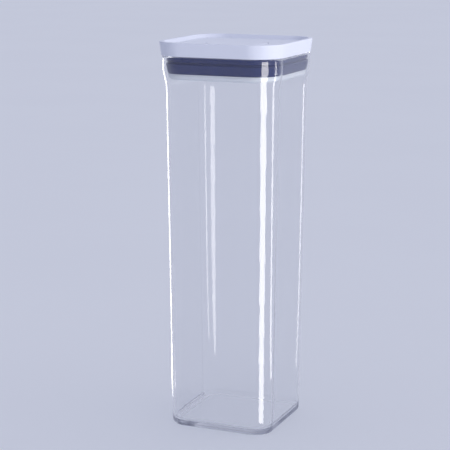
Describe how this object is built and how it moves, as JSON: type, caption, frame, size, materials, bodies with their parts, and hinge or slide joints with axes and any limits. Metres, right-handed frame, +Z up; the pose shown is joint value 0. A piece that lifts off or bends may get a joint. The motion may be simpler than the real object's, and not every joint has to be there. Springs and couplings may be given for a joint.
{
  "type": "food canister",
  "caption": "Tall square clear canister for dry food, with a white lift-off lid whose push button spreads a gasket against the wall to seal it.",
  "frame": {"origin": "centre of the flat foot, on the surface the canister stands on", "axes": "+Z up along the canister, -Y out of the front side face, +X out of the right side face"},
  "size_m": [0.105, 0.105, 0.315],
  "materials": {
    "clear_plastic": "clear, polished",
    "white_plastic": "satin gloss",
    "pale_plastic": "satin",
    "grey_plastic": "matte",
    "navy_silicone": "matte",
    "spring_steel": "drawn wire"
  },
  "bodies": {
    "container": {"container_body": "clear_plastic"},
    "lid": {"lid_cover": "white_plastic", "plug_frame": "pale_plastic", "lid_base": "pale_plastic", "base_seal": "navy_silicone", "gasket": "navy_silicone", "gasket_retainer": "pale_plastic", "guide_sleeve": "white_plastic", "button_seal": "navy_silicone", "latch_pin": "spring_steel", "main_spring": "spring_steel", "spring_right": "spring_steel", "spring_back": "spring_steel", "spring_left": "spring_steel", "spring_front": "spring_steel"},
    "button": {"button_cap": "white_plastic", "button_stem": "pale_plastic", "pusher_cam": "grey_plastic", "latch_track": "grey_plastic"},
    "right_pusher": {"pusher_right": "grey_plastic"},
    "back_pusher": {"pusher_back": "grey_plastic"},
    "left_pusher": {"pusher_left": "grey_plastic"},
    "front_pusher": {"pusher_front": "grey_plastic"}
  },
  "joints": [
    {"name": "lid_lift", "type": "slide", "parent": "container", "child": "lid", "axis": [0, 0, 1], "range_m": [0, 0.06]},
    {"name": "button_rise", "type": "slide", "parent": "lid", "child": "button", "axis": [0, 0, 1], "range_m": [0, 0.009], "deforming": ["main_spring"]},
    {"name": "right_retract", "type": "slide", "parent": "lid", "child": "right_pusher", "axis": [-1, 0, 0], "range_m": [0, 0.0015], "deforming": ["spring_right"]},
    {"name": "back_retract", "type": "slide", "parent": "lid", "child": "back_pusher", "axis": [0, -1, 0], "range_m": [0, 0.0015], "deforming": ["spring_back"]},
    {"name": "left_retract", "type": "slide", "parent": "lid", "child": "left_pusher", "axis": [1, 0, 0], "range_m": [0, 0.0015], "deforming": ["spring_left"]},
    {"name": "front_retract", "type": "slide", "parent": "lid", "child": "front_pusher", "axis": [0, 1, 0], "range_m": [0, 0.0015], "deforming": ["spring_front"]}
  ],
  "couplings": [
    {"joint": "right_retract", "follows": "button_rise", "ratio": 0.1666},
    {"joint": "back_retract", "follows": "button_rise", "ratio": 0.1666},
    {"joint": "left_retract", "follows": "button_rise", "ratio": 0.1666},
    {"joint": "front_retract", "follows": "button_rise", "ratio": 0.1666}
  ]
}
